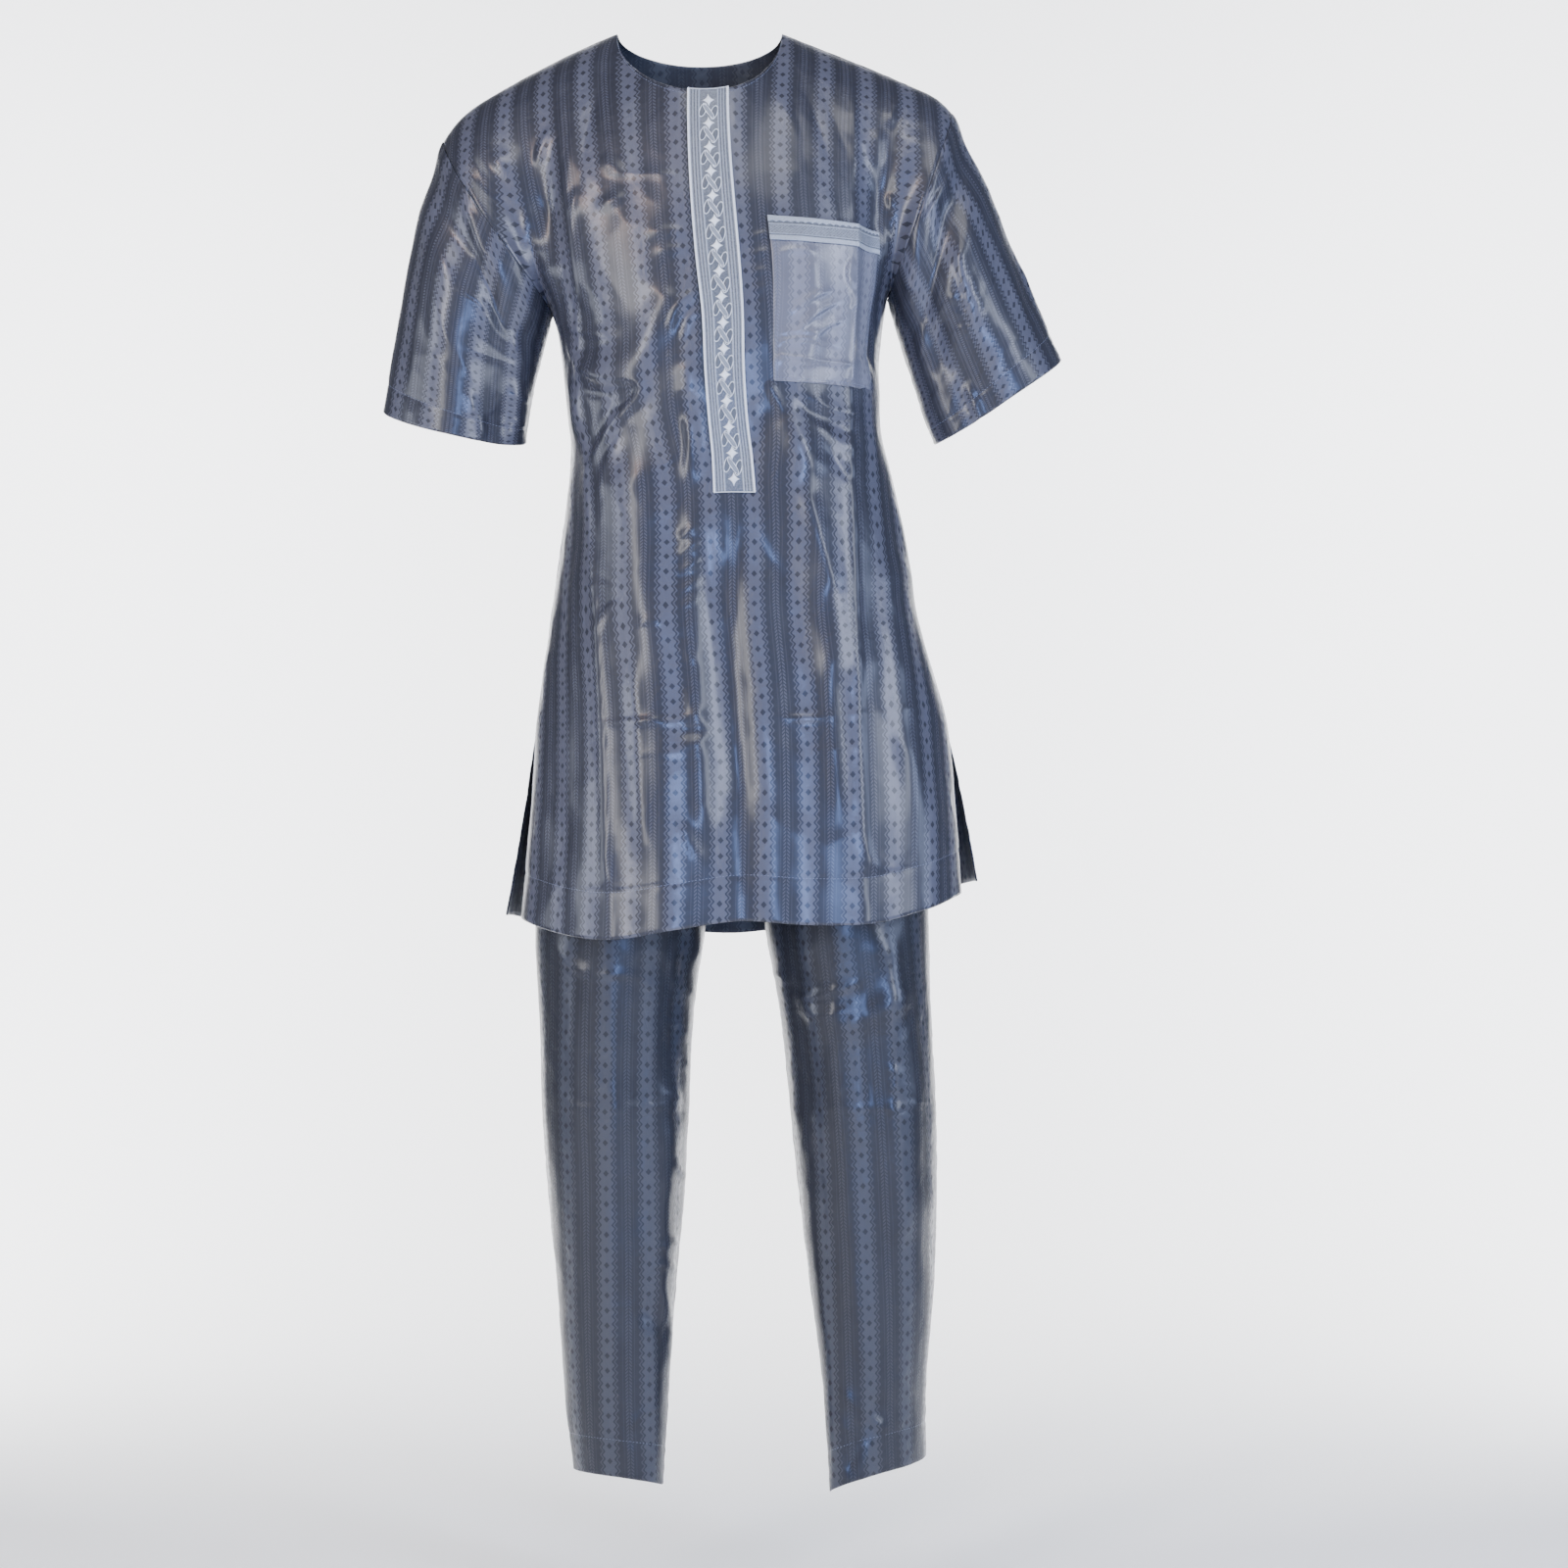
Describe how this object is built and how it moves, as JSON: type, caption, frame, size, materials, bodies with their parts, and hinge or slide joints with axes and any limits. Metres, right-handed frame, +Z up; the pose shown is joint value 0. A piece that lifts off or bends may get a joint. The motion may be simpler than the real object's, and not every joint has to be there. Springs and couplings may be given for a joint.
{
  "type": "dashiki suit",
  "caption": "Man's African two-piece suit: a short-sleeved round-neck tunic with side vents, ornamental front band and chest pocket, over tapered trousers.",
  "frame": {"origin": "middle of the neck opening, level with the two neck points, where the wearer's neck and shoulders hold the suit up", "axes": "+Z up along the body, +Y towards the back, +X towards the wearer's left, which is the viewer's right"},
  "size_m": [0.692, 0.3061, 1.4801],
  "materials": {
    "cloth": "glazed cotton damask in slate blue with woven stripes",
    "braid": "silver machine braid"
  },
  "bodies": {
    "root": {"tunic_front": "cloth", "tunic_back": "cloth", "sleeve_right": "cloth", "sleeve_left": "cloth", "front_band": "braid", "chest_pocket": "cloth", "pocket_trim": "braid", "trouser_front_right": "cloth", "trouser_back_right": "cloth", "trouser_front_left": "cloth", "trouser_back_left": "cloth", "waistband": "cloth"}
  },
  "joints": []
}
